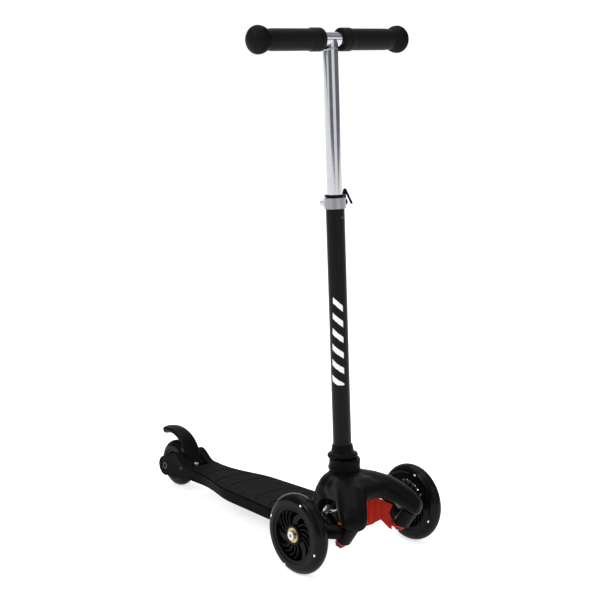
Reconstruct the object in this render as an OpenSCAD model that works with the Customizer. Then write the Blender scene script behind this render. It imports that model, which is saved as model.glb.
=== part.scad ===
// Children's three-wheel kick scooter that steers when its rider leans.
// +Z is up and the scooter drives towards -Y. The origin lies on the floor, in the middle of the
// whole object. Lengths are millimetres. Inside place() y is measured from the front axle line.

/* [Overall] */
// Distance from the front axle line to the rear axle
wheelbase = 460; // [440:5:520]
// Distance between the middles of the two front wheels
track = 230; // [228:2:260]
// Backward lean of the stem, in degrees
stem_lean = 3; // [1:0.5:5]
// Height of the crossbar above the stem's foot point, measured along the stem
bar_height = 669; // [640:5:700]
// Length of the handlebar over both grips
bar_width = 300; // [270:5:340]

/* [Front wheels] */
// Outer diameter of a front tyre
front_d = 120; // [114:2:124]
// Width of a front tyre
front_w = 24; // [22:1:26]
// Outer diameter of a front wheel core
front_core_d = 86; // [80:2:90]
// Thin curved vanes between two broad blades
vanes_per_group = 4; // [2:1:5]

/* [Rear wheel] */
// Outer diameter of the rear tyre
rear_d = 80; // [74:2:84]
// Width of the rear tyre
rear_w = 24; // [20:1:26]
// Outer diameter of the rear wheel core
rear_core_d = 52; // [48:1:54]
// Gap between the rear tyre's side and the fork
fork_gap = 5; // [3:0.5:7]

/* [Bearings and axles] */
// Outer diameter of a ball bearing
bearing_d = 22; // [19:0.5:24]
// Bore of a ball bearing
bearing_bore = 8; // [6:0.5:9]
// Width of a ball bearing
bearing_w = 7; // [6:0.5:8]
// Radial play between a shaft and the hole that turns or slides on it
running_gap = 0.05; // [0.02:0.01:0.09]

/* [Deck] */
// Height of the deck's upper face above the floor
deck_top = 50; // [48:1:54]
// Thickness of the deck's edge
deck_h = 23; // [20:1:26]
// Deck width at its front shoulder
deck_w = 113; // [104:1:120]
// Deck width where it starts to taper to the tail
deck_mid_w = 102; // [94:1:104]
// Width over both fork cheeks of the tail
tail_w = 62; // [58:1:68]
// Deck width at its nose under the head
deck_nose_w = 66; // [58:1:74]
// Thickness of the deck's walls and ribs
deck_wall = 4; // [3:0.5:6]
// Number of curved grooves across the deck
grooves = 6; // [3:1:6]
// Spacing of the curved grooves
groove_pitch = 36.5; // [32:0.5:40]

/* [Stem] */
// Outer diameter of the lower tube
lower_d = 28; // [26:0.5:30]
// Outer diameter of the upper tube
upper_d = 23; // [20:0.5:24]
// Wall thickness of both tubes
tube_wall = 1.2; // [1:0.1:1.4]
// Length of the lower tube above the stem's foot point
lower_top = 441; // [400:1:460]
// Length of upper tube kept inside the lower tube at full height
overlap = 141; // [120:1:180]
// Outer diameter of the collar that holds the stem
collar_d = 47; // [44:1:50]
// Height of the collar's rim above the stem's foot point
collar_top = 47; // [42:1:52]
// Depth of the lower tube below the stem's foot point
socket_depth = 36; // [30:1:38]

/* [Grips] */
// Outer diameter of a grip
grip_d = 32; // [30:1:35]
// Diameter of the ball on the outer end of a grip
ball_d = 41.2; // [38:0.2:44]
// Distance from the stem's axis to the inner end of a grip
grip_start = 22; // [20:1:30]
// Outer diameter of the crossbar
crossbar_d = 22.2; // [20:0.2:25.4]

/* [Steering] */
// Sideways distance from the middle to a kingpin
kingpin_x = 60; // [56:1:64]
// Forward lean of the kingpins, in degrees
kingpin_lean = 37; // [34:1:40]
// Diameter of a kingpin
kingpin_d = 10; // [8:0.5:11]
// Length of a steering lever, from kingpin to tie rod pin
lever_len = 49; // [46:1:50]
// Diameter of a tie rod pin
tie_pin_d = 6; // [5:0.5:7]

/* [Brake] */
// Outer radius of the curved brake fender
fender_r = 61; // [60:1:64]
// Thickness of the brake fender
fender_t = 5; // [4:0.5:6]
// Diameter of the brake's hinge pin
brake_pin_d = 6; // [5:0.5:7]

/* [Height clamp] */
// Turn of the quick-release clamp about the stem, in degrees
clamp_turn = -40; // [-60:5:-20]
// Height of the clamp ring
clamp_h = 16; // [12:1:18]
// Wall thickness of the clamp ring
clamp_wall = 2.2; // [1.8:0.1:3]

/* [Hidden] */
$fn = 64;
HULL_FN = 32;
EPS = 0.01;

black = "#1d1d1f";
red = "#9a2c18";
steel = "#b9bcc0";
zinc = "#c3ad5a";
smoke = "#33363a";

// Foot point of the stem, above the front axle line
stem_y = 30;
stem_z = 100;
// Middle of the kingpins
kingpin_y = -45.5;
kingpin_z = 61;
// Distances along a kingpin from its middle
knuckle_low = -17.5;
knuckle_high = 17;
spring_seat = 6;
seat_high = 19.5;
foot_t = 5;
lever_t = 6;
lever_mid = -13.5;
rod_t = 5;
rod_mid = -7.5;
// Underside of the head and height of the tunnel for the tie rod
head_low = deck_top;
tunnel_high = 95;
tunnel_back = 8;
// Tips of the head's arms: middle, and half sizes along, across and up
arm_dir = 52;
tip_at = [66, -61, 84];
tip_size = [17, 22, 17];
// Front wheel: half widths and axle height
axle_z = front_d / 2;
hub_half = front_w / 2 - 1;
wheel_x = track / 2;
boss_end = wheel_x - hub_half - 3;
bearing_seat_r = bearing_d / 2;
axle_r = bearing_bore / 2 - running_gap;
// Rear wheel and fork
rear_z = rear_d / 2;
rear_half = rear_w / 2 - 1;
well_half = rear_w / 2 + fork_gap;
well_front = wheelbase - rear_d / 2 - 26;
brake_pin_y = wheelbase - rear_d / 2 - 8;
brake_pin_z = deck_top - 4;
fender_y = wheelbase + 14;
fender_z = rear_z + 2;
fender_tip = 64;
fender_half = well_half - 0.5;
fender_end = fender_y + fender_r * cos(fender_tip);
// Deck stations along y
nose_y = 60;
shoulder_y = 145;
taper_y = 250;
waist_y = wheelbase - 98;
// Stem pieces
lower_r = lower_d / 2;
lower_ri = lower_r - tube_wall;
upper_r = upper_d / 2;
button_h = lower_top - 30;
lock_h = collar_top - 19;
clamp_low = lower_top - clamp_h - 2;
clamp_ear_y = lower_r + clamp_wall + 6.5;
lever_x = 14;

// The whole object's reach in front of and behind the front axle line
front_reach = -tip_at[1] + norm([sin(arm_dir) * tip_size[0], cos(arm_dir) * tip_size[1]]);
rear_reach = max(fender_end, wheelbase + rear_d / 2);
front_y = (front_reach - rear_reach) / 2;

function ease(t) = (1 - cos(180 * t)) / 2;
function between(a, b, t) = a + (b - a) * t;
function share(y, from, to) = min(1, max(0, (y - from) / (to - from)));
// Half width of the deck at a distance y behind the front axle line
function deck_half(y) =
    y < shoulder_y ? between(deck_nose_w, deck_w, ease(share(y, nose_y, shoulder_y))) / 2 :
    y < taper_y ? between(deck_w, deck_mid_w, share(y, shoulder_y, taper_y)) / 2 :
    between(deck_mid_w, tail_w, ease(share(y, taper_y, waist_y))) / 2;

// ---- Places ----

// From the front axle line to the object's own origin
module place() {
    translate([0, front_y, 0]) children();
}

// The stem's axis is +Z here, with z = 0 at its foot point
module on_stem() {
    place() translate([0, stem_y, stem_z]) rotate([-stem_lean, 0, 0]) children();
}

// A kingpin's axis is +Z here; side is 1 on the left and -1 on the right
module on_kingpin(side) {
    place() translate([side * kingpin_x, kingpin_y, kingpin_z])
        rotate([kingpin_lean, 0, 0]) children();
}

// The front axle is +Z here and points outwards, with z = 0 in the wheel's middle
module on_front_axle(side) {
    place() translate([side * wheel_x, 0, axle_z]) rotate([0, side * 90, 0]) children();
}

// The rear axle is +Z here, with z = 0 in the wheel's middle
module on_rear_axle() {
    place() translate([0, wheelbase, rear_z]) rotate([0, 90, 0]) children();
}

// The clamp's bolt is along X here, behind the stem at y = clamp_ear_y
module on_clamp() {
    on_stem() rotate([0, 0, clamp_turn]) translate([0, 0, clamp_low]) children();
}

// ---- Shapes that repeat ----

module ring(r_out, r_in, h) {
    difference() {
        cylinder(r = r_out, h = h);
        translate([0, 0, -1]) cylinder(r = r_in, h = h + 2);
    }
}

// A solid drawn in the plane of y and z, spread evenly about x = 0
module across(width) {
    rotate([90, 0, 90]) translate([0, 0, -width / 2]) linear_extrude(width) children();
}

// A screw along +Z: its head lies below z = 0 and its shank above
module screw(head_r, head_h, shank_r, shank_h) {
    difference() {
        translate([0, 0, -head_h]) cylinder(r = head_r, h = head_h);
        translate([0, 0, -head_h - 1]) cylinder(r = head_r * 0.5, h = 1 + head_h * 0.5, $fn = 6);
    }
    cylinder(r = shank_r, h = shank_h);
}

// A coil spring along +Z, of round wire
module coil(r, wire_r, pitch, turns) {
    steps = 16;
    sides = 8;
    n = steps * turns;
    points = [for (i = [0 : n]) for (k = [0 : sides - 1])
        let (a = i * 360 / steps, b = k * 360 / sides, q = r + wire_r * cos(b))
        [q * cos(a), q * sin(a), wire_r + pitch * i / steps + wire_r * sin(b)]];
    walls = [for (i = [0 : n - 1]) for (k = [0 : sides - 1])
        let (p = i * sides + k, q = i * sides + (k + 1) % sides)
        each [[p, p + sides, q], [q, p + sides, q + sides]]];
    ends = [[for (k = [0 : sides - 1]) k], [for (k = [sides - 1 : -1 : 0]) n * sides + k]];
    polyhedron(points, concat(walls, ends), convexity = 8);
}

// A blade of a wheel core from radius r0 to r1 that leans by sweep degrees on its way out
module blade(r0, r1, t0, t1, sweep, h) {
    n = 6;
    side_points = function (s) [for (i = [0 : n])
        let (u = i / n, r = between(r0, r1, u), a = sweep * u * u + s * between(t0, t1, u) / 2 / r * 57.3)
        r * [cos(a), sin(a)]];
    low = side_points(-1);
    high = side_points(1);
    translate([0, 0, -h / 2]) linear_extrude(h)
        polygon(concat(low, [for (i = [n : -1 : 0]) high[i]]));
}

// A ball bearing with its outer ring, shields and inner ring, from z = 0 up
module bearing() {
    race = 1.8;
    dish = 0.5;
    difference() {
        ring(bearing_d / 2, bearing_bore / 2, bearing_w);
        for (z = [-EPS, bearing_w - dish]) translate([0, 0, z])
            ring(bearing_d / 2 - race, bearing_bore / 2 + race, dish + EPS);
    }
}

// ---- Deck ----

module deck_outline(inset) {
    step = 12;
    stations = concat([for (y = [nose_y : step : waist_y]) y], [wheelbase - 30]);
    polygon(concat([for (y = stations) [deck_half(y) - inset, y]],
        [for (i = [len(stations) - 1 : -1 : 0]) [inset - deck_half(stations[i]), stations[i]]]));
}

// Side view of a fork cheek: a low hump beside the tyre, and a round lobe about the axle
module cheek_profile() {
    hump_y = wheelbase - 26;
    hump = 18;
    start = well_front - 10;
    rise = [for (i = [0 : 6]) [between(start + 14, hump_y, i / 6), deck_top + hump * ease(i / 6)]];
    fall = [for (i = [1 : 4])
        [between(hump_y, wheelbase - 4, i / 4), between(deck_top + hump, rear_z + 16, ease(i / 4))]];
    polygon(concat([[start + 6, deck_top - deck_h + 3], [start, deck_top - 10], [start, deck_top]],
        rise, fall, [[wheelbase, rear_z + 16.5], [wheelbase, rear_z - 16.5],
        [start + 30, deck_top - deck_h]]));
    translate([wheelbase, rear_z]) circle(r = 17);
}

module deck_ribs_pocket() {
    cell = 44;
    roof = deck_top - deck_wall - 1;
    intersection() {
        translate([0, 0, deck_top - deck_h - 1]) linear_extrude(roof - deck_top + deck_h + 1)
            deck_outline(deck_h / 3 + deck_wall);
        for (y = [132 : cell : waist_y - 30]) for (side = [-1, 1])
            translate([side > 0 ? deck_wall / 2 : -deck_w - deck_wall / 2, y, 0])
                cube([deck_w, cell - deck_wall, deck_top]);
    }
}

module deck() {
    low = deck_top - deck_h;
    groove_r = 80;
    groove_w = 1.6;
    color(black) place() difference() {
        union() {
            translate([0, 0, low]) linear_extrude(5) deck_outline(8);
            translate([0, 0, low + 5]) linear_extrude(5) deck_outline(4);
            translate([0, 0, low + 10]) linear_extrude(deck_h - 12) deck_outline(0);
            translate([0, 0, deck_top - 2]) linear_extrude(2) deck_outline(1.5);
            for (side = [-1, 1])
                translate([side * (well_half / 2 + tail_w / 4), 0, 0])
                    across(tail_w / 2 - well_half) cheek_profile();
        }
        // The nose rises towards the head
        across(200) polygon([[0, 0], [0, deck_top - 5], [nose_y - 8, deck_top - 5],
            [nose_y, low + 6], [nose_y + 18, low], [nose_y + 18, 0]]);
        // Well for the rear wheel and the brake
        translate([-well_half, well_front, -1]) cube([2 * well_half, 200, 200]);
        deck_ribs_pocket();
        // Curved grooves across the upper face
        for (i = [0 : grooves - 1]) intersection() {
            translate([0, 167 + i * groove_pitch - groove_r, deck_top - 1])
                ring(groove_r + groove_w / 2, groove_r - groove_w / 2, 2);
            translate([-deck_half(150 + i * groove_pitch) + 5, 167 + i * groove_pitch - 40, 0])
                cube([2 * deck_half(150 + i * groove_pitch) - 10, 60, 100]);
        }
        translate([0, wheelbase, rear_z]) rotate([0, 90, 0]) {
            translate([0, 0, -100]) cylinder(r = axle_r, h = 200);
            for (side = [-1, 1]) translate([0, 0, side * tail_w / 2 - 4])
                cylinder(r = 7.5, h = 8);
        }
        translate([-100, brake_pin_y, brake_pin_z]) rotate([0, 90, 0])
            cylinder(d = brake_pin_d, h = 200);
        for (side = [-1, 1]) translate([side * 20, nose_y + 18, 0]) {
            cylinder(r = 2.5, h = 100);
            cylinder(r = 5.5, h = deck_top - 5);
        }
    }
}

module deck_screws() {
    color(steel) place() for (side = [-1, 1])
        translate([side * 20, nose_y + 18, deck_top - 5]) screw(5, 3, 2.5, 20);
}

// ---- Head ----

// A smooth lump of an arm: centre, half sizes along, across and up, and side
module arm_lump(at, size, side) {
    translate([side * at[0], at[1], at[2]]) rotate([0, 0, -side * arm_dir])
        scale(size / 20) sphere(r = 20, $fn = HULL_FN);
}

module head_arm(side) {
    root_at = [12, 8, 110];
    root_size = [24, 24, 18];
    bend_at = [44, -31, 103];
    bend_size = [16, 24, 15];
    hull() {
        arm_lump(root_at, root_size, side);
        arm_lump(bend_at, bend_size, side);
    }
    hull() {
        arm_lump(bend_at, bend_size, side);
        arm_lump(tip_at, tip_size, side);
    }
}

module head_dome() {
    discs = [[24, 124], [34, 113], [39.5, 102], [42, 88]];
    hull() {
        for (d = discs) translate([0, stem_y + 2, d[1]])
            cylinder(r = d[0], h = 1, $fn = HULL_FN);
        for (side = [-1, 1]) {
            translate([side * 24, 24, head_low]) cylinder(r = 10, h = 4, $fn = HULL_FN);
            translate([side * 24, 88, head_low]) cylinder(r = 8, h = 8, $fn = HULL_FN);
        }
    }
}

module head_housing() {
    color(black) difference() {
        union() {
            on_stem() translate([0, 0, 10]) cylinder(d = collar_d, h = collar_top - 10);
            on_stem() translate([0, 0, collar_top - 6]) cylinder(d = collar_d + 1.6, h = 3);
            place() head_dome();
            place() for (side = [-1, 1]) head_arm(side);
        }
        on_stem() translate([0, 0, -socket_depth]) cylinder(r = lower_r + running_gap, h = 200);
        place() translate([-45, -14, 0]) cube([90, tunnel_back + 14, tunnel_high]);
        // Open arches in the side walls
        for (side = [-1, 1]) place() translate([side * 19, 24, 66]) rotate([0, side * 90, 0])
            cylinder(r = 25, h = 60);
        for (side = [-1, 1]) on_kingpin(side) {
            translate([0, 0, -60]) cylinder(r = 28, h = 60 + seat_high);
            cylinder(d = kingpin_d, h = 31);
        }
        on_stem() translate([0, 15.6, lock_h]) rotate([-90, 0, 0]) cylinder(r = 7.3, h = 40);
        place() for (side = [-1, 1]) {
            translate([side * 20, nose_y + 18, 0]) cylinder(r = 2.5, h = deck_top + 16);
            for (y = [18, 44]) translate([side * 10, y, 0]) cylinder(r = 2, h = head_low + 9);
        }
    }
}

module steering_bracket() {
    plate_t = 3.5;
    sweep = 39.7;
    base_t = 3;
    color(red) difference() {
        union() {
            place() {
                translate([-23, -13, head_low - base_t]) cube([46, plate_t, 88 - head_low + base_t]);
                translate([-18, -13, head_low - base_t]) cube([36, 67, base_t]);
                for (x = [-14, 0, 14]) translate([x - 1.2, -14.2, 52]) cube([2.4, 2, 34]);
            }
            for (side = [-1, 1]) {
                place() translate([0, 5.6, 0]) mirror([side < 0 ? 1 : 0, 0, 0])
                    rotate([0, 0, -sweep]) {
                        rotate([90, 0, 0]) translate([0, 0, -plate_t]) linear_extrude(plate_t)
                            polygon([[27, 47], [27, 88], [34, 88], [58, 77], [53, 66], [57, 50],
                                [57, 38], [52, 41], [40, 54]]);
                        for (t = [32, 42]) translate([t, -1.2, 56]) cube([2.4, 2, 26]);
                    }
                hull() {
                    on_kingpin(side) translate([0, 0, knuckle_low - 0.5 - foot_t])
                        cylinder(r = 8.5, h = foot_t + 1, $fn = HULL_FN);
                    place() translate([side * 43, -31, 45]) cylinder(r = 2, h = 5, $fn = HULL_FN);
                }
            }
        }
        for (side = [-1, 1]) {
            on_kingpin(side) translate([0, 0, -60]) cylinder(d = kingpin_d, h = 60);
            on_kingpin(side) translate([0, 0, knuckle_low - 0.5]) cylinder(r = 14, h = 60);
            place() for (y = [18, 44]) translate([side * 10, y, 0]) cylinder(r = 2, h = 60);
        }
    }
}

module bracket_screws() {
    color(steel) place() for (side = [-1, 1]) for (y = [18, 44])
        translate([side * 10, y, head_low - 3]) screw(4.5, 2.5, 2, 11);
}

module kingpin(side) {
    low = knuckle_low - 0.5 - foot_t;
    color(steel) on_kingpin(side) {
        translate([0, 0, low - 4.6]) cylinder(r = 8, h = 4, $fn = 6);
        translate([0, 0, low - 1]) cylinder(d = kingpin_d, h = 32 - low);
    }
}

module centring_spring(side) {
    wire_r = 1.1;
    turns = 4;
    room = seat_high - spring_seat - 0.6;
    color(steel) on_kingpin(side) translate([0, 0, spring_seat + 0.3])
        coil(kingpin_d / 2 + 3, wire_r, (room - 2 * wire_r) / turns, turns);
}

// ---- Knuckles and tie rod ----

module knuckle(side) {
    color(black) difference() {
        union() {
            on_kingpin(side) {
                translate([0, 0, knuckle_low]) cylinder(r1 = 10.5, r2 = 12.5, h = 3);
                translate([0, 0, knuckle_low + 3])
                    cylinder(r = 12.5, h = knuckle_high - knuckle_low - 3);
                translate([0, 0, lever_mid - lever_t / 2]) {
                    translate([-5, 0, 0]) cube([10, lever_len, lever_t]);
                    translate([0, lever_len, 0]) cylinder(r = 6.5, h = lever_t);
                }
            }
            hull() {
                on_kingpin(side) translate([0, 0, knuckle_low + 13])
                    cylinder(r = 10, h = spring_seat - knuckle_low - 14, $fn = HULL_FN);
                on_front_axle(side) translate([0, 0, boss_end - wheel_x - 14])
                    cylinder(r = 10, h = 12, $fn = HULL_FN);
            }
            on_front_axle(side) translate([0, 0, boss_end - wheel_x - 8]) cylinder(r = 9, h = 8);
        }
        on_kingpin(side) {
            translate([0, 0, -60]) cylinder(r = kingpin_d / 2 + running_gap, h = 120);
            translate([0, 0, spring_seat]) cylinder(r = kingpin_d / 2 + 4.6, h = 40);
            translate([0, lever_len, -40]) cylinder(d = tie_pin_d, h = 40);
        }
        on_front_axle(side) translate([0, 0, -45]) cylinder(r = axle_r, h = 60);
    }
}

module tie_pin(side) {
    low = lever_mid - lever_t / 2;
    high = rod_mid + rod_t / 2;
    color(steel) on_kingpin(side) translate([0, lever_len, 0]) {
        translate([0, 0, low - 3]) cylinder(r = 5, h = 3, $fn = 6);
        translate([0, 0, low]) cylinder(d = tie_pin_d, h = high - low + 0.4);
        translate([0, 0, high + 0.4]) cylinder(r = 5.5, h = 3.6, $fn = 6);
    }
}

module tie_rod() {
    span = 2 * kingpin_x;
    color(steel) place() translate([0, kingpin_y, kingpin_z]) rotate([kingpin_lean, 0, 0])
        translate([0, lever_len, rod_mid - rod_t / 2]) difference() {
            union() {
                translate([-span / 2, -4, 0.3]) cube([span, 8, rod_t - 0.3]);
                for (side = [-1, 1]) translate([side * span / 2, 0, 0.3])
                    cylinder(r = 6.5, h = rod_t - 0.3);
            }
            translate([span / 2, 0, -1]) cylinder(r = tie_pin_d / 2 + running_gap, h = 10);
            translate([-span / 2, 0, -1]) cylinder(r = tie_pin_d / 2 + 0.3, h = 10);
        }
}

// ---- Front wheels ----

module front_axle(side) {
    color(steel) on_front_axle(side) {
        translate([0, 0, -34]) cylinder(r = axle_r, h = 34 + hub_half);
        difference() {
            translate([0, 0, hub_half]) cylinder(r = 6.5, h = 4);
            translate([0, 0, hub_half + 1.5]) cylinder(r = 3, h = 4, $fn = 6);
        }
    }
}

module front_spacers(side) {
    color(steel) on_front_axle(side) {
        translate([0, 0, bearing_w - hub_half]) ring(5.5, axle_r, 2 * (hub_half - bearing_w));
        translate([0, 0, -hub_half - 3]) ring(6.5, axle_r, 3);
    }
}

module front_bearings(side) {
    color(zinc) on_front_axle(side) for (z = [-hub_half, hub_half - bearing_w])
        translate([0, 0, z]) bearing();
}

// Core with a hub for two bearings, broad and thin swirling blades, and a rim
module swirl_core(core_r, width, groups, thin, sweep) {
    hub_r = bearing_seat_r + 3.5;
    rim = 5;
    translate([0, 0, -width / 2]) ring(core_r, core_r - rim, width);
    difference() {
        translate([0, 0, -width / 2]) cylinder(r = hub_r, h = width);
        translate([0, 0, -width]) cylinder(r = bearing_seat_r - 2, h = 2 * width);
        for (z = [-width, width / 2 - bearing_w]) translate([0, 0, z])
            cylinder(r = bearing_seat_r, h = width / 2 + bearing_w);
    }
    for (g = [0 : groups - 1]) rotate([0, 0, g * 360 / groups]) {
        blade(hub_r - 1, core_r - rim + 1, 11, 9, sweep, width - 8);
        for (k = [1 : thin]) rotate([0, 0, 14 + k * (360 / groups - 28) / (thin + 1)])
            blade(hub_r - 1, core_r - rim + 1, 1.8, 2.2, sweep, width - 5);
    }
}

module front_core(side) {
    color(black) on_front_axle(side) mirror([0, side < 0 ? 1 : 0, 0])
        swirl_core(front_core_d / 2, 2 * hub_half, 3, vanes_per_group, 34);
}

// Place of each light in the tyre
module at_lights() {
    for (a = [20 : 90 : 290]) rotate([0, 0, a]) translate([front_core_d / 2 + 4, 0, 0]) children();
}

module tyre(d, w, core_d) {
    rotate_extrude($fn = 96) difference() {
        union() {
            translate([d / 2 - w / 2, 0]) circle(r = w / 2);
            translate([core_d / 2 + 0.5, -w / 2]) square([d / 2 - w / 2 - core_d / 2 - 0.5, w]);
            translate([core_d / 2, 1 - w / 2]) square([2, w - 2]);
        }
        translate([0, -w]) square([core_d / 2, 2 * w]);
    }
}

module front_tyre(side) {
    color(smoke) on_front_axle(side) difference() {
        tyre(front_d, front_w, front_core_d);
        at_lights() cube([4, 8, 10], center = true);
    }
}

module light_modules(side) {
    color("white") on_front_axle(side) at_lights() cube([3.8, 7.8, 9.8], center = true);
}

// ---- Rear wheel ----

module rear_core() {
    color(black) on_rear_axle() swirl_core(rear_core_d / 2, 2 * rear_half, 3, 1, 20);
}

module rear_tyre() {
    color(smoke) on_rear_axle() tyre(rear_d, rear_w, rear_core_d);
}

module rear_bearings() {
    color(zinc) on_rear_axle() for (z = [-rear_half, rear_half - bearing_w])
        translate([0, 0, z]) bearing();
}

module rear_spacers() {
    color(steel) on_rear_axle() {
        translate([0, 0, bearing_w - rear_half]) ring(5.5, axle_r, 2 * (rear_half - bearing_w));
        for (z = [-well_half, rear_half + 0.2]) translate([0, 0, z])
            ring(6.5, axle_r, well_half - rear_half - 0.2);
    }
}

module rear_axle() {
    face = tail_w / 2 - 4;
    color(steel) on_rear_axle() {
        translate([0, 0, -face]) cylinder(r = axle_r, h = 2 * face + 6.5);
        difference() {
            translate([0, 0, -face - 3.5]) cylinder(r = 6.5, h = 3.5);
            translate([0, 0, -face - 4]) cylinder(r = 3, h = 2.5, $fn = 6);
        }
    }
}

module rear_axle_nut() {
    color(steel) on_rear_axle() translate([0, 0, tail_w / 2 - 4]) difference() {
        cylinder(r = 7, h = 5, $fn = 6);
        translate([0, 0, -1]) cylinder(r = axle_r, h = 8);
    }
}

// ---- Brake ----

module brake_fender() {
    foot = 8;
    color(black) place() difference() {
        union() {
            across(2 * fender_half) intersection() {
                translate([fender_y, fender_z]) difference() {
                    circle(r = fender_r, $fn = 128);
                    circle(r = fender_r - fender_t, $fn = 128);
                }
                translate([fender_y, fender_z]) polygon([[0, 0], [-100, 100 * tan(foot)], [-100, 100],
                    [100 / tan(fender_tip), 100]]);
            }
            translate([-fender_half, brake_pin_y, brake_pin_z]) rotate([0, 90, 0])
                cylinder(r = 6, h = 2 * fender_half);
            // Web between the barrel and the plate
            across(2 * fender_half) polygon([[brake_pin_y - 3, brake_pin_z + 4],
                [brake_pin_y + 5, brake_pin_z], [brake_pin_y + 7, brake_pin_z + 10],
                [brake_pin_y + 2, brake_pin_z + 12]]);
        }
        translate([-100, brake_pin_y, brake_pin_z]) rotate([0, 90, 0])
            cylinder(r = brake_pin_d / 2 + running_gap, h = 200);
        translate([-7, brake_pin_y - 8, brake_pin_z - 8]) cube([14, 20, 15]);
        // Rounded end
        difference() {
            translate([-50, fender_end - fender_half, fender_z]) cube([100, 100, 100]);
            translate([0, fender_end - fender_half, 0]) cylinder(r = fender_half, h = 200);
        }
    }
}

module brake_pin() {
    color(steel) place() translate([-tail_w / 2, brake_pin_y, brake_pin_z]) rotate([0, 90, 0])
        cylinder(d = brake_pin_d, h = tail_w);
}

module brake_spring() {
    wire_r = 0.7;
    color(steel) place() translate([-5, brake_pin_y, brake_pin_z]) rotate([0, 90, 0])
        coil(brake_pin_d / 2 + 1.3, wire_r, 2, 4);
}

// ---- Stem ----

module lower_tube() {
    color(black) on_stem() difference() {
        translate([0, 0, -socket_depth]) ring(lower_r, lower_ri, socket_depth + lower_top);
        translate([0, 0, button_h]) rotate([90, 0, 0]) cylinder(r = 3.3, h = 40);
    }
}

module stem_skirt() {
    low = collar_top + 0.4;
    color(black) on_stem() rotate_extrude() polygon([[lower_r, low], [22.4, low], [23.2, low + 2],
        [23.2, low + 4], [22, low + 6], [lower_r + 3.5, low + 8.5], [lower_r + 1.6, low + 19],
        [lower_r, low + 19]]);
}

module guide_bush() {
    color(black) on_stem() {
        translate([0, 0, lower_top - 22]) ring(lower_ri, upper_r + running_gap, 22 + EPS);
        translate([0, 0, lower_top]) ring(lower_r + 1.6, upper_r + running_gap, 2.5);
    }
}

module clamp_ring() {
    ear_t = 6;
    slit = 4;
    color(steel) on_clamp() difference() {
        union() {
            ring(lower_r + clamp_wall, lower_r, clamp_h);
            for (x = [slit / 2, -slit / 2 - ear_t]) difference() {
                translate([x, 0, 0]) cube([ear_t, clamp_ear_y + 6, clamp_h]);
                translate([0, 0, -1]) cylinder(r = lower_r, h = clamp_h + 2);
            }
        }
        translate([-slit / 2, lower_r - 4, -1]) cube([slit, 40, clamp_h + 2]);
        translate([-50, clamp_ear_y, clamp_h / 2]) rotate([0, 90, 0]) cylinder(r = 3, h = 100);
    }
}

module clamp_bolt() {
    color(steel) on_clamp() translate([-18, clamp_ear_y, clamp_h / 2]) rotate([0, 90, 0])
        difference() {
            cylinder(r = 3, h = 18 + lever_x + 3);
            translate([0, 0, 18 + lever_x]) rotate([90, 0, 0]) cylinder(r = 1.5, h = 10, center = true);
        }
}

module clamp_nut() {
    color(steel) on_clamp() translate([-8, clamp_ear_y, clamp_h / 2]) rotate([0, -90, 0])
        difference() {
            union() {
                cylinder(r = 8, h = 1.5);
                translate([0, 0, 1.5]) cylinder(r = 7.2, h = 7, $fn = 6);
                translate([0, 0, 8.5]) cylinder(r1 = 6, r2 = 4, h = 6);
            }
            translate([0, 0, -1]) cylinder(r = 3, h = 11);
        }
}

module clamp_lever() {
    width = 10;
    pin_r = 1.5;
    color(black) on_clamp() translate([lever_x, clamp_ear_y, clamp_h / 2]) difference() {
        union() {
            rotate([90, 0, 0]) cylinder(r = 5.5, h = width, center = true);
            rotate([90, 0, 0]) translate([0, 0, -width / 2]) linear_extrude(width)
                polygon([[-4, 0], [4, 0], [3.2, 12], [9.5, -3], [12.5, -3.5], [12.8, -1.5],
                    [4.2, 18.5], [2, 20], [-0.5, 19], [-2.5, 10]]);
        }
        rotate([90, 0, 0]) cylinder(r = pin_r + running_gap, h = 20, center = true);
        translate([-20, -3.3, -20]) cube([24.6, 6.6, 24.6]);
    }
}

module clamp_lever_pin() {
    color(steel) on_clamp() translate([lever_x, clamp_ear_y, clamp_h / 2]) rotate([90, 0, 0])
        cylinder(r = 1.5, h = 10, center = true);
}

module snap_button() {
    color(steel) on_stem() translate([0, 0, button_h]) rotate([90, 0, 0])
        translate([0, 0, lower_ri + 0.05]) {
            cylinder(r = 3, h = tube_wall + 0.5);
            translate([0, 0, tube_wall + 0.5]) cylinder(r1 = 3, r2 = 1.8, h = 0.7);
        }
}

module upper_tube() {
    low = lower_top - overlap;
    color(steel) on_stem() difference() {
        translate([0, 0, low]) ring(upper_r, upper_r - tube_wall, bar_height - low);
        translate([-50, 0, bar_height]) rotate([0, 90, 0]) cylinder(d = crossbar_d, h = 100);
    }
}

module tube_plug() {
    color(black) on_stem() translate([0, 0, lower_top - overlap])
        ring(lower_ri - running_gap, upper_r, 18);
}

// ---- Handlebar ----

module on_bar(side) {
    on_stem() translate([0, 0, bar_height]) rotate([0, side * 90, 0]) children();
}

module crossbar() {
    color(steel) on_bar(1) translate([0, 0, -bar_width / 2 + 12])
        ring(crossbar_d / 2, crossbar_d / 2 - tube_wall - 0.3, bar_width - 24);
}

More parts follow.
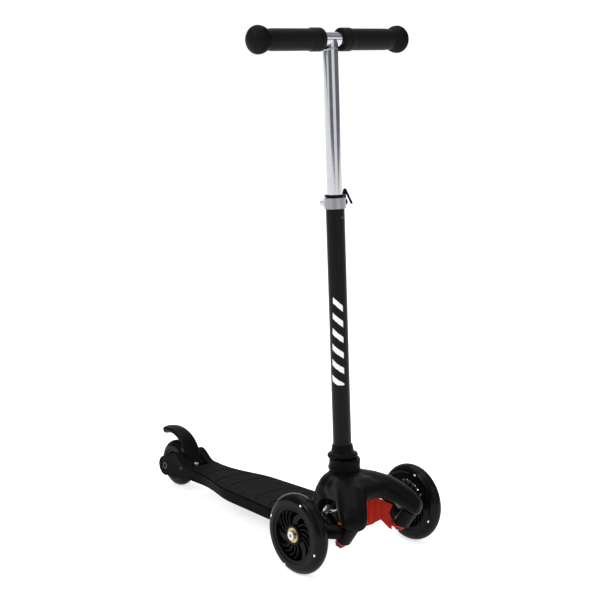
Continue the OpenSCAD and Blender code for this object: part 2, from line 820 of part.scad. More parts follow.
module grip(side) {
    ball_at = bar_width / 2 - ball_d / 2 + 5;
    flange_w = 18;
    color(black) on_bar(side) difference() {
        union() {
            translate([0, 0, grip_start]) cylinder(d = grip_d, h = ball_at - grip_start);
            translate([0, 0, grip_start]) cylinder(d1 = grip_d, d2 = grip_d + 2.6, h = 2.5);
            translate([0, 0, grip_start + 2.5]) cylinder(d = grip_d + 2.6, h = flange_w - 5);
            translate([0, 0, grip_start + flange_w - 2.5]) cylinder(d1 = grip_d + 2.6, d2 = grip_d, h = 2.5);
            intersection() {
                translate([0, 0, ball_at]) sphere(d = ball_d);
                translate([0, 0, ball_at - ball_d]) cylinder(d = ball_d, h = ball_d + ball_d / 2 - 5);
            }
        }
        translate([0, 0, 0]) cylinder(d = crossbar_d, h = bar_width / 2 - 12);
        for (i = [0 : 5]) translate([0, 0, ball_at - 8 + i * 3.2])
            ring(ball_d, sqrt(pow(ball_d / 2, 2) - pow(i * 3.2 - 8 + 0.5, 2)) - 0.7, 1);
    }
}

// ---- Stem lock ----

module lock_button() {
    color(black) on_stem() translate([0, 21.5, lock_h]) rotate([-90, 0, 0]) {
        cylinder(r = 7, h = 5);
        translate([0, 0, 5]) cylinder(r1 = 7, r2 = 6, h = 1);
    }
}

module lock_spring() {
    wire_r = 0.5;
    color(steel) on_stem() translate([0, 15.7, lock_h]) rotate([-90, 0, 0])
        coil(4.5, wire_r, 1.05, 2);
}

deck();
deck_screws();
head_housing();
steering_bracket();
bracket_screws();
kingpin(1);  // kingpin_left
kingpin(-1);  // kingpin_right
centring_spring(1);  // centring_spring_left
centring_spring(-1);  // centring_spring_right
knuckle(1);  // knuckle_left
knuckle(-1);  // knuckle_right
tie_pin(1);  // tie_pin_left
tie_pin(-1);  // tie_pin_right
tie_rod();
front_axle(1);  // front_axle_left
front_axle(-1);  // front_axle_right
front_spacers(1);  // front_spacers_left
front_spacers(-1);  // front_spacers_right
front_bearings(1);  // front_bearings_left
front_bearings(-1);  // front_bearings_right
front_core(1);  // front_core_left
front_core(-1);  // front_core_right
front_tyre(1);  // front_tyre_left
front_tyre(-1);  // front_tyre_right
light_modules(1);  // light_modules_left
light_modules(-1);  // light_modules_right
rear_core();
rear_tyre();
rear_bearings();
rear_spacers();
rear_axle();
rear_axle_nut();
brake_fender();
brake_pin();
brake_spring();
lower_tube();
stem_skirt();
guide_bush();
clamp_ring();
clamp_bolt();
clamp_nut();
clamp_lever();
clamp_lever_pin();
snap_button();
upper_tube();
tube_plug();
crossbar();
grip(1);  // grip_left
grip(-1);  // grip_right
lock_button();
lock_spring();
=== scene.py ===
import math

import bpy
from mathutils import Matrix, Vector


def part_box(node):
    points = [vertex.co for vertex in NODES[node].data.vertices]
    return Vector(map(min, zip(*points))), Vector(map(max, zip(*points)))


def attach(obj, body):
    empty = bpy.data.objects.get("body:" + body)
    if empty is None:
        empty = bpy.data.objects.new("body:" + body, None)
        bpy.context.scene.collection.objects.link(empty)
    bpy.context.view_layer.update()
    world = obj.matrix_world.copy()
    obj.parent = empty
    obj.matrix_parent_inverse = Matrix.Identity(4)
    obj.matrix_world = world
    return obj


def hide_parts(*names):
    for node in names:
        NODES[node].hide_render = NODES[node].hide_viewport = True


bl_info = {
    "name": "Kick scooter",
    "version": (1, 0, 0),
    "blender": (4, 5, 0),
    "location": "3D View > Sidebar > Scooter",
    "description": "Builds the looks of a three-wheel kick scooter around its packed CAD model",
    "category": "Add Mesh",
}

MM = 0.001
WHITE = (1, 1, 1, 1)
SCRATCH_DEPTH = 0.000012
SIDES = (("left", 1), ("right", -1))
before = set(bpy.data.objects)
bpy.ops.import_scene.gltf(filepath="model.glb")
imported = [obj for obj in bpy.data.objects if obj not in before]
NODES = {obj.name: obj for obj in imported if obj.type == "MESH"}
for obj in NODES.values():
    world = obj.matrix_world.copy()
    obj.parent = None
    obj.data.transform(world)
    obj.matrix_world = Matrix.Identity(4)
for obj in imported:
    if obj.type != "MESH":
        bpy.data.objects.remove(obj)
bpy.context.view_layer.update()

# Places that several operators share, in metres, measured from the CAD model
FRONT_AXLE_Y = sum(c[1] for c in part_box("front_tyre_left")) / 2
AXLE_Z = sum(c[2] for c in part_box("front_tyre_left")) / 2
STEM_FOOT = Vector((0, FRONT_AXLE_Y + 0.030, 0.100))
STEM_LEAN = math.radians(3)


# ---- Shader maths ----

class Tree:
    """One node tree, with short ways to add nodes to it."""

    def __init__(self, tree):
        self.tree = tree
        self.tree.nodes.clear()

    def add(self, kind, inputs=None, **props):
        """Adds a node, sets its properties and fills its inputs with numbers or values."""
        made = self.tree.nodes.new(kind)
        for name, value in props.items():
            setattr(made, name, value)
        for name, value in (inputs or {}).items():
            socket = made.inputs[name]
            if isinstance(value, Value):
                self.tree.links.new(value.socket, socket)
            else:
                socket.default_value = value
        return made

    def value(self, kind, output=0, inputs=None, **props):
        """Adds a node and gives one of its outputs."""
        return Value(self, self.add(kind, inputs, **props).outputs[output])

    def coords(self):
        return self.value("ShaderNodeTexCoord", "Object")

    def noise(self, at, scale, detail=3.0, rough=0.55):
        return self.value("ShaderNodeTexNoise", "Fac", {
            "Vector": at, "Scale": scale, "Detail": detail, "Roughness": rough})

    def ramp(self, fac, low, high):
        """Maps low..high to 0..1, smoothly, and clamps it."""
        return self.value("ShaderNodeMapRange", "Result", {
            "Value": fac, "From Min": low, "From Max": high}, interpolation_type="SMOOTHSTEP")

    def tint(self, fac, first, second):
        return self.value("ShaderNodeMix", 2, {0: fac, 6: first, 7: second}, data_type="RGBA")

    def bump(self, height, distance, strength=1.0):
        return self.value("ShaderNodeBump", 0, {
            "Height": height, "Distance": distance, "Strength": strength})

    def surface(self, **inputs):
        """The material's surface, from the Principled shader's inputs."""
        names = {k.replace("_", " "): v for k, v in inputs.items()}
        shader = self.add("ShaderNodeBsdfPrincipled", names)
        out = self.add("ShaderNodeOutputMaterial")
        self.tree.links.new(shader.outputs[0], out.inputs["Surface"])
        return shader


class Value:
    """A socket that can be used in sums."""

    def __init__(self, tree, socket):
        self.tree = tree
        self.socket = socket

    def _sum(self, operation, *others):
        inputs = {i: v for i, v in enumerate((self,) + others)}
        return self.tree.value("ShaderNodeMath", 0, inputs, operation=operation)

    def __add__(self, other):
        return self._sum("ADD", other)

    def __radd__(self, other):
        return self._sum("ADD", other)

    def __sub__(self, other):
        return self._sum("SUBTRACT", other)

    def __rsub__(self, other):
        return self._sum("MULTIPLY", -1.0)._sum("ADD", other)

    def __mul__(self, other):
        return self._sum("MULTIPLY", other)

    def __rmul__(self, other):
        return self._sum("MULTIPLY", other)

    def sin(self):
        return self._sum("SINE")

    def sqrt(self):
        return self._sum("SQRT")

    def angle(self, x):
        return self._sum("ARCTAN2", x)

    def split(self):
        parts = self.tree.add("ShaderNodeSeparateXYZ", {"Vector": self})
        return [Value(self.tree, parts.outputs[i]) for i in range(3)]


def new_material(name):
    made = bpy.data.materials.new(name)
    made.use_nodes = True
    return made, Tree(made.node_tree)


def rgb(color, gain=1.0):
    return tuple(min(1.0, c * gain) for c in color[:3]) + (1.0,)


def plastic(name, color, rough=0.42, grain=0.00004, scale=1400.0, gloss=0.06):
    """Moulded plastic: a fine spark-eroded grain, slight shade changes and rubbed patches."""
    made, t = new_material(name)
    at = t.coords()
    wide = t.noise(at, 28.0, 4.0)
    fine = t.noise(at, scale, 2.0, 0.6)
    scuffs = t.ramp(t.noise(at, 90.0, 8.0, 0.75), 0.62, 0.72)
    shade = t.tint(wide, rgb(color, 0.82), rgb(color, 1.18))
    shade = t.tint(scuffs * 0.35, shade, rgb(color, 2.4))
    t.surface(
        Base_Color=shade, Roughness=rough - 0.06 + wide * 0.1 + scuffs * 0.12,
        Normal=t.bump(fine + scuffs * 0.3, grain), Specular_IOR_Level=gloss)
    return made


def metal(name, color, rough=0.25, along=None):
    """Metal with fine scratches; along names the axis that a drawn or turned surface runs round."""
    made, t = new_material(name)
    at = t.coords()
    if along is not None:
        stretch = [900.0, 900.0, 900.0]
        stretch[along] = 40.0
        at = t.value("ShaderNodeMapping", 0, {"Vector": at, "Scale": stretch})
        lines = t.noise(at, 1.0, 3.0, 0.6)
    else:
        lines = t.noise(at, 600.0, 5.0, 0.65)
    smudge = t.noise(t.coords(), 35.0, 4.0)
    t.surface(
        Base_Color=t.tint(smudge, rgb(color, 0.9), rgb(color, 1.06)), Metallic=1.0,
        Roughness=rough - 0.03 + lines * 0.06 + smudge * 0.03,
        Normal=t.bump(lines, SCRATCH_DEPTH))
    return made


# ---- Settings ----

def color_setting(name, description, default):
    return bpy.props.FloatVectorProperty(
        name=name, description=description, subtype="COLOR", size=3, min=0.0, max=1.0,
        default=default)


def length_setting(name, description, default):
    return bpy.props.FloatProperty(
        name=name, description=description, subtype="DISTANCE", unit="LENGTH", min=0.0,
        default=default)


class ScooterColors(bpy.types.PropertyGroup):
    """Colours of the scooter's materials."""
    body: color_setting("Body", "Colour of the black moulded parts", (0.0022, 0.0022, 0.0024))
    deck: color_setting("Deck", "Colour of the deck's upper face", (0.006, 0.006, 0.0055))
    bracket: color_setting("Bracket", "Colour of the steering bracket", (0.36, 0.014, 0.003))
    tyre: color_setting("Tyre", "Tint of the clear tyres", (0.003, 0.0032, 0.0035))
    grip: color_setting("Grip", "Colour of the grips", (0.006, 0.006, 0.0063))
    tube: color_setting("Lower tube", "Colour of the lower tube's paint", (0.004, 0.004, 0.0045))
    chrome: color_setting("Chrome", "Colour of the upper tube", (0.56, 0.57, 0.59))
    zinc: color_setting("Zinc", "Colour of the bearings", (0.40, 0.33, 0.16))
    floor: color_setting("Floor", "Colour of the floor", (0.96, 0.96, 0.96))


class ScooterSizes(bpy.types.PropertyGroup):
    """Sizes of the scooter's surface detail."""
    rib_pitch: length_setting("Rib pitch", "Spacing of the deck's fine anti-slip ribs", 0.0024)
    rib_depth: length_setting("Rib depth", "Depth of the deck's fine anti-slip ribs", 0.0005)
    grain: length_setting("Grain", "Depth of the grain on moulded parts", 0.00004)


def colors():
    return bpy.context.scene.scooter_colors


def sizes():
    return bpy.context.scene.scooter_sizes


def paint(material, *nodes):
    """Gives CAD nodes a material."""
    for name in nodes:
        mesh = NODES[name].data
        mesh.materials.clear()
        mesh.materials.append(material)


def deck_material():
    """The deck: grained sides, and fine curved ribs on the upper face."""
    top_low, top_high = 0.0494, 0.0499
    bow_radius_squared = 0.0064
    made, t = new_material("deck_plastic")
    at = t.coords()
    x, y, z = at.split()
    wide = t.noise(at, 24.0, 4.0)
    fine = t.noise(at, 1300.0, 2.0)
    bow = y - (bow_radius_squared - x * x).sqrt()
    ribs = (bow * (2 * math.pi / sizes().rib_pitch)).sin() * 0.5 + 0.5
    top = t.ramp(z, top_low, top_high)
    scuffs = t.ramp(t.noise(at, 70.0, 8.0, 0.75), 0.6, 0.72)
    side = t.tint(wide, rgb(colors().body, 0.85), rgb(colors().body, 1.2))
    face = t.tint(wide, rgb(colors().deck, 0.85), rgb(colors().deck, 1.2))
    face = t.tint(scuffs * 0.4, face, rgb(colors().deck, 2.2))
    t.surface(
        Base_Color=t.tint(top, side, face), Roughness=0.46 + wide * 0.1 + top * 0.08,
        Normal=t.bump(fine * 0.08 + ribs * top, sizes().rib_depth), Specular_IOR_Level=0.02)
    return made


def tube_material():
    """Satin black paint with a plain pattern of slanted white bars facing forwards."""
    pitch, radius, facing = 0.0235, 0.014, 0.865
    low, high, edge = 0.2595, 0.3925, 0.001
    made, t = new_material("satin_paint")
    at = t.coords()
    x, y, z = at.split()
    fine = t.noise(at, 1800.0, 2.0)
    wide = t.noise(at, 40.0, 4.0)
    turn = (y - (FRONT_AXLE_Y + 0.046)).angle(x) + math.pi - facing
    across = turn * radius
    bars = ((z + across * 0.9) * (2 * math.pi / pitch)).sin()
    notch = t.noise(at, 160.0, 1.0) * 0.5
    inside = t.ramp(across * across, 0.000056, 0.000048)
    length = t.ramp(z, low, low + edge) * t.ramp(z, high, high - edge)
    print_mask = t.ramp(bars + notch, 0.55, 0.68) * inside * length
    base = t.tint(wide, rgb(colors().tube, 0.85), rgb(colors().tube, 1.2))
    t.surface(
        Base_Color=t.tint(print_mask, base, (0.8, 0.8, 0.8, 1)),
        Roughness=0.27 + wide * 0.08 + print_mask * 0.15,
        Normal=t.bump(fine + print_mask, 0.00002), Specular_IOR_Level=0.1)
    return made


def tyre_material():
    """Smoky clear polyurethane with a moulding haze and fine scratches on the tread."""
    made, t = new_material("clear_polyurethane")
    at = t.coords()
    haze = t.noise(at, 60.0, 5.0)
    fine = t.noise(at, 700.0, 3.0)
    t.surface(
        Base_Color=t.tint(haze, rgb(colors().tyre, 0.85), rgb(colors().tyre, 1.25)),
        Roughness=0.22 + haze * 0.12, Normal=t.bump(fine + haze, 0.00006),
        IOR=1.5, Coat_Weight=0.12, Coat_Roughness=0.05, Specular_IOR_Level=0.03)
    return made


class SCOOTER_OT_finishes(bpy.types.Operator):
    """Gives every CAD piece its material"""
    bl_idname = "scooter.finishes"
    bl_label = "CAD finishes"

    def execute(self, context):
        c = colors()
        body = plastic("body_plastic", c.body, grain=sizes().grain)
        paint(body, "head_housing", "knuckle_left", "knuckle_right", "brake_fender",
              "stem_skirt", "guide_bush", "tube_plug", "lock_button", "clamp_lever")
        paint(deck_material(), "deck")
        paint(plastic("core_plastic", c.body, 0.35),
              "front_core_left", "front_core_right", "rear_core")
        paint(plastic("bracket_plastic", c.bracket, 0.45, gloss=0.08), "steering_bracket")
        paint(tyre_material(), "front_tyre_left", "front_tyre_right", "rear_tyre")
        paint(plastic("ridged_rubber", c.grip, 0.5, 0.00008, 900.0, 0.06),
              "grip_left", "grip_right")
        paint(tube_material(), "lower_tube")
        paint(metal("mirror_chrome", c.chrome, 0.07, 2), "upper_tube")
        paint(metal("chrome_bar", c.chrome, 0.07, 0), "crossbar")
        paint(metal("cast_metal", (0.30, 0.305, 0.32), 0.2), "clamp_ring")
        paint(metal("zinc", c.zinc, 0.26), "front_bearings_left", "front_bearings_right",
              "rear_bearings")
        paint(metal("spring_wire", (0.5, 0.5, 0.52), 0.3), "centring_spring_left",
              "centring_spring_right", "brake_spring", "lock_spring")
        steel = metal("plated_steel", (0.5, 0.51, 0.53), 0.24)
        paint(steel, "deck_screws", "bracket_screws", "clamp_bolt", "clamp_nut",
              "clamp_lever_pin", "tie_pin_left", "tie_pin_right", "tie_rod",
              "front_axle_left", "front_axle_right", "front_spacers_left",
              "front_spacers_right", "rear_spacers")
        paint(metal("blackened_steel", (0.03, 0.03, 0.032), 0.4), "rear_axle", "rear_axle_nut",
              "brake_pin", "kingpin_left", "kingpin_right", "snap_button")
        # Bright white, not emissive: partly the LED modules' own colour, partly a painted glint
        # standing in for highlights seen on them through the tyres
        made, t = new_material("led_white_and_painted_glint")
        led_and_glint_tone = t.noise(t.coords(), 250.0)
        t.surface(Base_Color=t.tint(led_and_glint_tone, (0.8, 0.82, 0.78, 1), (1, 1, 0.96, 1)), Roughness=0.15)
        paint(made, "light_modules_left", "light_modules_right")
        return {"FINISHED"}


# ---- Modelling ----

def clear_selection():
    if bpy.context.mode != "OBJECT":
        bpy.ops.object.mode_set(mode="OBJECT")
    bpy.ops.object.select_all(action="DESELECT")


def settle(name):
    """Names the active object and moves its place into its mesh."""
    made = bpy.context.object
    made.name = name
    bpy.ops.object.transform_apply(location=True, rotation=True, scale=True)
    return made


def ball(name, at, size, turn=(0, 0, 0)):
    clear_selection()
    bpy.ops.mesh.primitive_uv_sphere_add(
        segments=28, ring_count=18, radius=1.0, location=at, rotation=turn, scale=size)
    return settle(name)


def rod(name, at, radius, depth, turn=(0, 0, 0), vertices=64):
    """A cylinder about its middle."""
    clear_selection()
    bpy.ops.mesh.primitive_cylinder_add(
        vertices=vertices, radius=radius, depth=depth, location=at, rotation=turn)
    return settle(name)


def block(name, low, high):
    clear_selection()
    low, high = Vector(low), Vector(high)
    bpy.ops.mesh.primitive_cube_add(size=1.0, location=(low + high) / 2, scale=high - low)
    return settle(name)


def join(name, pieces):
    clear_selection()
    for piece in pieces:
        piece.select_set(True)
    bpy.context.view_layer.objects.active = pieces[0]
    bpy.ops.object.join()
    pieces[0].name = name
    return pieces[0]


def modify(piece, kind, **props):
    """Adds a modifier and applies it."""
    clear_selection()
    piece.select_set(True)
    bpy.context.view_layer.objects.active = piece
    modifier = piece.modifiers.new(kind.lower(), kind)
    for name, value in props.items():
        setattr(modifier, name, value)
    bpy.ops.object.modifier_apply(modifier=modifier.name)
    return piece


def cut(piece, *cutters):
    """Takes the cutters out of a piece."""
    for cutter in cutters:
        modify(piece, "BOOLEAN", operation="DIFFERENCE", object=cutter, solver="EXACT")
        bpy.data.objects.remove(cutter)
    return piece


def soften(piece, voxel, rounds, factor=0.5):
    """Turns overlapping shapes into one skin with flowing transitions."""
    modify(piece, "REMESH", mode="VOXEL", voxel_size=voxel)
    modify(piece, "SMOOTH", factor=factor, iterations=rounds)
    return piece


def lathe(name, profile, at=(0, 0, 0), turns=(), segments=96):
    """A turned piece from (radius, height) steps about Z, then turned about axes and placed."""
    clear_selection()
    radius, height = profile[0]
    bpy.ops.mesh.primitive_circle_add(
        vertices=segments, radius=radius, fill_type="NGON", location=(0, 0, height))
    made = settle(name)
    bpy.ops.object.mode_set(mode="EDIT")
    bpy.ops.mesh.select_all(action="SELECT")
    for next_radius, next_height in profile[1:]:
        bpy.ops.mesh.extrude_region_move(
            TRANSFORM_OT_translate={"value": (0, 0, next_height - height)})
        grow = next_radius / radius
        bpy.ops.transform.resize(value=(grow, grow, 1), center_override=(0, 0, next_height))
        radius, height = next_radius, next_height
    bpy.ops.mesh.select_all(action="SELECT")
    bpy.ops.mesh.normals_make_consistent(inside=False)
    for axis, angle in turns:
        bpy.ops.transform.rotate(
            value=angle, orient_axis=axis, orient_type="GLOBAL", center_override=(0, 0, 0))
    bpy.ops.transform.translate(value=at)
    bpy.ops.object.mode_set(mode="OBJECT")
    return made


def finish(piece, material, body, replaces=(), angle=35):
    """Shades a piece, gives it its material and fixes it to its body."""
    clear_selection()
    piece.select_set(True)
    bpy.context.view_layer.objects.active = piece
    if angle:
        bpy.ops.object.shade_smooth_by_angle(angle=math.radians(angle))
    else:
        bpy.ops.object.shade_smooth()
    piece.data.materials.clear()
    piece.data.materials.append(material)
    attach(piece, body)
    if replaces:
        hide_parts(*replaces)
    return piece


def material(name):
    return bpy.data.materials[name]


def on_stem(x, y, h):
    """A place beside the stem: across, behind its axis, and up along it."""
    c, s = math.cos(STEM_LEAN), math.sin(STEM_LEAN)
    return STEM_FOOT + Vector((x, y * c + h * s, h * c - y * s))


# ---- Head ----

class SCOOTER_OT_head(bpy.types.Operator):
    """Makes the head housing with its two arms and the stem's collar"""
    bl_idname = "scooter.head"
    bl_label = "Head housing"

    # Lumps of an arm: place, and half sizes along, across and up, in millimetres
    ARM = (
        ((8, 16, 108), (26, 27, 23)),
        ((22, -6, 110), (23, 26, 19)),
        ((36, -25, 106), (18, 24, 18)),
        ((48, -41, 98), (14, 23, 16.5)),
        ((57, -54, 89), (12, 22, 16)),
        ((63, -63, 80), (10, 20, 14)),
    )
    # Lumps of the web between the arms, and of the dome's shoulder and flank
    WEB = (((0, 2, 108), (34, 28, 21)), ((0, -12, 109), (32, 26, 18)),
           ((8, -22, 108), (28, 22, 15)))
    DOME = (((10, 34, 103), (31, 27, 24)), ((15, 38, 92), (28, 27, 26)),
            ((18, 48, 80), (20, 23, 25)), ((18, 62, 66), (14, 20, 17)),
            ((18, 74, 57), (12, 17, 9)), ((24, 16, 105), (19, 24, 19)))
    KINGPIN = (60, -45.5, 61)
    KINGPIN_LEAN = math.radians(37)
    KNUCKLE_TOP = 19.5
    STEPS = 5
    # The collar's outline and socket, as radius and height along the stem, in millimetres
    COLLAR = ((22.6, 10), (22.6, 26), (23.2, 28.5), (24.2, 29.5), (24.2, 33), (23.5, 34),
              (23.5, 45.8), (22.6, 46.9), (14.6, 47), (14.1, 46.5), (14.1, 10.9))

    def place(self, at):
        return Vector((at[0] * MM, at[1] * MM + FRONT_AXLE_Y, at[2] * MM))

    def lump(self, side, at, size, turn=0.0):
        return ball("lump", self.place((at[0] * side, at[1], at[2])),
                    [v * MM for v in size], (0, 0, -side * turn))

    def arm(self, side):
        turn = math.radians(52)
        made = [self.lump(side, *self.ARM[-1], turn)]
        for (a, a_size), (b, b_size) in zip(self.ARM, self.ARM[1:]):
            for k in range(self.STEPS):
                at = [p + (q - p) * k / self.STEPS for p, q in zip(a, b)]
                size = [p + (q - p) * k / self.STEPS for p, q in zip(a_size, b_size)]
                made.append(self.lump(side, at, size, turn))
        return made

    def execute(self, context):
        lumps = []
        for _, side in SIDES:
            lumps += self.arm(side)
            lumps += [self.lump(side, at, size) for at, size in self.WEB + self.DOME]
        lumps.append(rod("lump", self.place((0, 32, 90)), 20 * MM, 80 * MM))
        lumps.append(block("lump", self.place((-22, 55, 50)), self.place((22, 92, 68))))
        head = soften(join("head", lumps), 1.6 * MM, 40)
        cutters = [
            block("cutter", self.place((-100, -120, 0)), self.place((100, 130, 50))),
            block("cutter", self.place((-45, -14, 0)), self.place((45, 8, 95))),
            rod("cutter", on_stem(0, 0, 0.064), 14.1 * MM, 0.2, (-STEM_LEAN, 0, 0)),
        ]
        for _, side in SIDES:
            cutters.append(rod("cutter", self.place((side * 49, 24, 66)), 25 * MM, 60 * MM,
                               (0, math.pi / 2, 0)))
            x, y, z = self.KINGPIN
            down = self.KNUCKLE_TOP - 40
            at = (side * x, y - down * math.sin(self.KINGPIN_LEAN),
                  z + down * math.cos(self.KINGPIN_LEAN))
            cutters.append(rod("cutter", self.place(at), 29 * MM, 80 * MM,
                               (self.KINGPIN_LEAN, 0, 0)))
        cutters.append(self.button_pocket())
        cut(head, *cutters)
        soften(head, 1.3 * MM, 3)
        finish(head, material("body_plastic"), "chassis", ("head_housing",), 0)
        collar = lathe("collar", [(r * MM, h * MM) for r, h in self.COLLAR], STEM_FOOT,
                       (("X", -STEM_LEAN),))
        cut(collar, self.button_pocket())
        finish(collar, material("body_plastic"), "chassis")
        return {"FINISHED"}

    def button_pocket(self):
        """The lock button's way through the back of the collar."""
        low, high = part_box("lock_button")
        center = (Vector(low) + Vector(high)) / 2
        return rod("cutter", center, 7.35 * MM, 18 * MM, (-math.pi / 2 - STEM_LEAN, 0, 0))


# ---- Grips and brake ----

class SCOOTER_OT_grips(bpy.types.Operator):
    """Makes the two grips with their ridged balls, and the weld under the crossbar"""
    bl_idname = "scooter.grips"
    bl_label = "Grips"

    BAR_HEIGHT = 0.669
    BALL_AT = 134.5
    BALL_R = 20.5
    GROOVE_PITCH = 3.2
    GROOVE_WIDTH = 1.3
    STEP = 0.4

    def profile(self):
        """Radius and place along the bar of a grip's outline, in millimetres."""
        steps = [(11.5, 18.5), (15.9, 18.5), (17.1, 19.7), (17.3, 20.9), (17.3, 27.6), (16.7, 28),
                 (16.7, 28.8), (17.3, 29.2), (17.3, 36), (17, 37.4), (16, 39.4)]
        steps += [(16, 40 + k) for k in range(0, 77, 7)]
        at = 119.4
        while at < 149.9:
            reach = self.BALL_R if at < self.BALL_AT else 15.4
            radius = self.BALL_R * math.sqrt(max(0.0, 1 - ((at - self.BALL_AT) / reach) ** 2))
            groove = 121 < at < 145 and (at - 121) % self.GROOVE_PITCH < self.GROOVE_WIDTH
            steps.append((max(radius, 14.8 if at < 122 else 1.2) - (1.0 if groove else 0), at))
            at += self.STEP
        return [(r * MM, z * MM) for r, z in steps]

    def execute(self, context):
        center = on_stem(0, 0, self.BAR_HEIGHT)
        for word, side in SIDES:
            grip = lathe("rubber_grip_" + word, self.profile(), center,
                         (("Y", side * math.pi / 2),), 80)
            name = "grip_" + word
            finish(grip, material("ridged_rubber"), "handlebar", (name,), 50)
        bead = lathe("weld_bead", [
            (11.55 * MM, -16.5 * MM), (12.2 * MM, -15.8 * MM), (12.7 * MM, -14 * MM),
            (12.9 * MM, -11.5 * MM), (12.2 * MM, -9 * MM), (11.2 * MM, -7 * MM)],
            center, (("X", -STEM_LEAN),))
        finish(bead, material("cast_metal"), "handlebar")
        return {"FINISHED"}


class SCOOTER_OT_brake(bpy.types.Operator):
    """Makes the crowned brake fender"""
    bl_idname = "scooter.brake"
    bl_label = "Brake fender"

    STEPS = 30
    START, SWEEP = 17, 101

    def execute(self, context):
        pin = [(a + b) / 2 for a, b in zip(*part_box("brake_pin"))]
        wheel = [(a + b) / 2 for a, b in zip(*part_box("rear_tyre"))]
        lumps = [rod("lump", pin, 6 * MM, 33 * MM, (0, math.pi / 2, 0))]
        for k in range(self.STEPS + 1):
            t = k / self.STEPS
            angle = math.radians(self.START + self.SWEEP * t)
            reach = (45.8 + 22.5 * t) * MM
            thick = (1.9 + 4.4 * t + 0.9 * t * t) * MM
            half = 16.4 - 3.4 * t * t
            at = (0, wheel[1] - (reach - thick) * math.cos(angle),
                  wheel[2] + (reach - thick) * math.sin(angle))
            for x in (-0.55, -0.3, 0, 0.3, 0.55):
                place = (x * half * MM, at[1], at[2])
                size = (half * (1 - abs(x)) * MM, 3.4 * MM, thick * (1 - 0.25 * abs(x)))
                lumps.append(ball("lump", place, size, (math.pi / 2 - angle, 0, 0)))
        for k in range(4):
            t = (k + 0.5) / 4
            at = (0, pin[1] + 5.4 * MM * t, pin[2] + 7.5 * MM * t)
            lumps.append(rod("lump", at, 3.2 * MM, 32 * MM, (0, math.pi / 2, 0), 24))
        fender = soften(join("fender", lumps), 0.9 * MM, 6)
        low = (-7 * MM, pin[1] - 8 * MM, pin[2] - 8 * MM)
        high = (7 * MM, pin[1] + 8 * MM, pin[2] + 6 * MM)
        cut(fender, rod("cutter", pin, 3.1 * MM, 0.05, (0, math.pi / 2, 0)),
            block("cutter", low, high))
        finish(fender, material("body_plastic"), "brake", ("brake_fender",), 40)
        return {"FINISHED"}


class SCOOTER_OT_lamps(bpy.types.Operator):
    """Makes the small bright lamps that show through the clear front tyres; their white is partly
    painted glint
    """
    bl_idname = "scooter.lamps"
    bl_label = "Tyre lamps"

    # White dots near the tyre faces: their bright white paints the glints on the lamps, and stands
    # for the LEDs' own colour only in part
    FACE = 10.9 * MM
    RING = 51.5 * MM
    SIZE = (1.3 * MM, 1.5 * MM, 2.4 * MM)

    def execute(self, context):
        for word, _ in SIDES:
            low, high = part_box("front_tyre_" + word)
            center = (Vector(low) + Vector(high)) / 2
            lamps = []
            for quarter in range(4):
                angle = math.radians(20 + 90 * quarter)
                for face in (-1, 1):
                    at = center + Vector((face * self.FACE, self.RING * math.cos(angle),
                                          self.RING * math.sin(angle)))
                    lamps.append(ball("lump", at, self.SIZE, (angle, 0, 0)))
            made = soften(join("lamp_and_painted_glint_dots_" + word, lamps), 0.35 * MM, 1)
            finish(made, material("led_white_and_painted_glint"), "front_wheel_" + word)
        return {"FINISHED"}


# ---- Stage ----

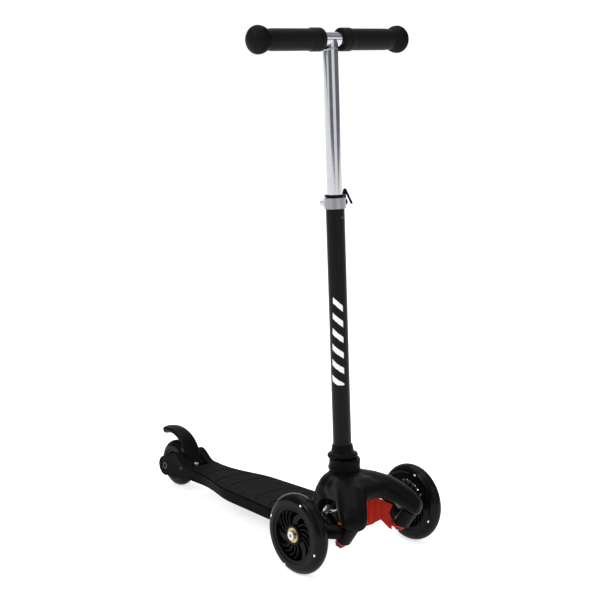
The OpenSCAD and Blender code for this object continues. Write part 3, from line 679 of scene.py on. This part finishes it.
class SCOOTER_OT_stage(bpy.types.Operator):
    """Makes the floor, the soft studio light and the camera"""
    bl_idname = "scooter.stage"
    bl_label = "Stage"

    # Lamps: name, place, diameter in metres, watts
    LAMPS = (("top", (0.1, 0.4, 3.0), 3.2, 45.0),
             ("key", (-2.0, 0.3, 1.9), 0.9, 12.0),
             ("fill", (1.5, -2.4, 1.6), 1.2, 5.0))
    FLOOR_SIZE = 60.0
    FLOOR_GLOW = 0.7
    DARK = (0.17, 0.18, 0.20, 1)
    CAMERA_PLACE = (-1.414, -1.7533, 0.775)
    CAMERA_TURN = (math.radians(90 - 10.37), 0, math.radians(-40.16))
    LENS = 87.0

    def execute(self, context):
        bpy.ops.object.select_all(action="DESELECT")
        bpy.ops.mesh.primitive_plane_add(size=self.FLOOR_SIZE, location=(0, 0, 0))
        floor = context.object
        floor.name = "floor"
        made, t = new_material("floor_paint")
        fine = t.noise(t.coords(), 300.0)
        base = rgb(colors().floor)
        t.surface(Base_Color=t.tint(fine, rgb(base, 0.99), rgb(base, 1.01)), Roughness=0.9,
                  Specular_IOR_Level=0.0, Emission_Color=WHITE, Emission_Strength=self.FLOOR_GLOW)
        floor.data.materials.append(made)
        for lamp in self.LAMPS:
            self.lamp(*lamp)
        world = bpy.data.worlds.new("studio")
        world.use_nodes = True
        t = Tree(world.node_tree)
        toward = t.value("ShaderNodeTexCoord", "Generated")
        x, y, z = toward.split()
        # Bright panels left and right of the camera, and a bright wall across from it
        front = x * -0.645 + y * -0.764
        turn = (x * 0.764 + y * -0.645).angle(front)
        panels = t.ramp((turn + 0.87) * (turn + 0.87), 0.10, 0.05) * 0.9
        panels = panels + t.ramp((turn - 0.63) * (turn - 0.63), 0.19, 0.12)
        panels = panels + t.ramp(front, -0.70, -0.88)
        shade = t.add("ShaderNodeBackground", {
            "Color": t.tint(panels + t.ramp(z, 0.2, 1.0) * 0.35, self.DARK, WHITE),
            "Strength": 1.05})
        out = t.add("ShaderNodeOutputWorld")
        t.tree.links.new(shade.outputs[0], out.inputs["Surface"])
        context.scene.world = world
        data = bpy.data.cameras.new("camera")
        data.lens = self.LENS
        data.sensor_width = 36.0
        data.clip_end = 50.0
        camera = bpy.data.objects.new("camera", data)
        camera.location = self.CAMERA_PLACE
        camera.rotation_euler = self.CAMERA_TURN
        context.collection.objects.link(camera)
        context.scene.camera = camera
        context.scene.view_settings.view_transform = "Standard"
        return {"FINISHED"}

    def lamp(self, name, place, size, power):
        data = bpy.data.lights.new(name, "AREA")
        data.shape = "DISK"
        data.size = size
        data.energy = power
        lamp = bpy.data.objects.new(name, data)
        lamp.location = place
        aim = Vector((0, -0.1, 0.3)) - lamp.location
        lamp.rotation_euler = aim.to_track_quat("-Z", "Y").to_euler()
        bpy.context.collection.objects.link(lamp)


class SCOOTER_PT_panel(bpy.types.Panel):
    """Lists the operators and settings"""
    bl_idname = "SCOOTER_PT_panel"
    bl_label = "Kick scooter"
    bl_space_type = "VIEW_3D"
    bl_region_type = "UI"
    bl_category = "Scooter"

    def draw(self, context):
        for group in (context.scene.scooter_colors, context.scene.scooter_sizes):
            for name in group.__annotations__:
                self.layout.prop(group, name)
        for operator in OPERATORS:
            self.layout.operator(operator.bl_idname)


OPERATORS = (SCOOTER_OT_stage, SCOOTER_OT_finishes, SCOOTER_OT_head, SCOOTER_OT_grips,
             SCOOTER_OT_brake, SCOOTER_OT_lamps)
CLASSES = (ScooterColors, ScooterSizes) + OPERATORS + (SCOOTER_PT_panel,)


def register():
    for cls in CLASSES:
        bpy.utils.register_class(cls)
    bpy.types.Scene.scooter_colors = bpy.props.PointerProperty(type=ScooterColors)
    bpy.types.Scene.scooter_sizes = bpy.props.PointerProperty(type=ScooterSizes)


def unregister():
    del bpy.types.Scene.scooter_sizes
    del bpy.types.Scene.scooter_colors
    for cls in reversed(CLASSES):
        bpy.utils.unregister_class(cls)


def main():
    register()
    bpy.ops.scooter.stage()
    bpy.ops.scooter.finishes()
    bpy.ops.scooter.head()
    bpy.ops.scooter.grips()
    bpy.ops.scooter.brake()
    bpy.ops.scooter.lamps()


if __name__ == "__main__":
    main()
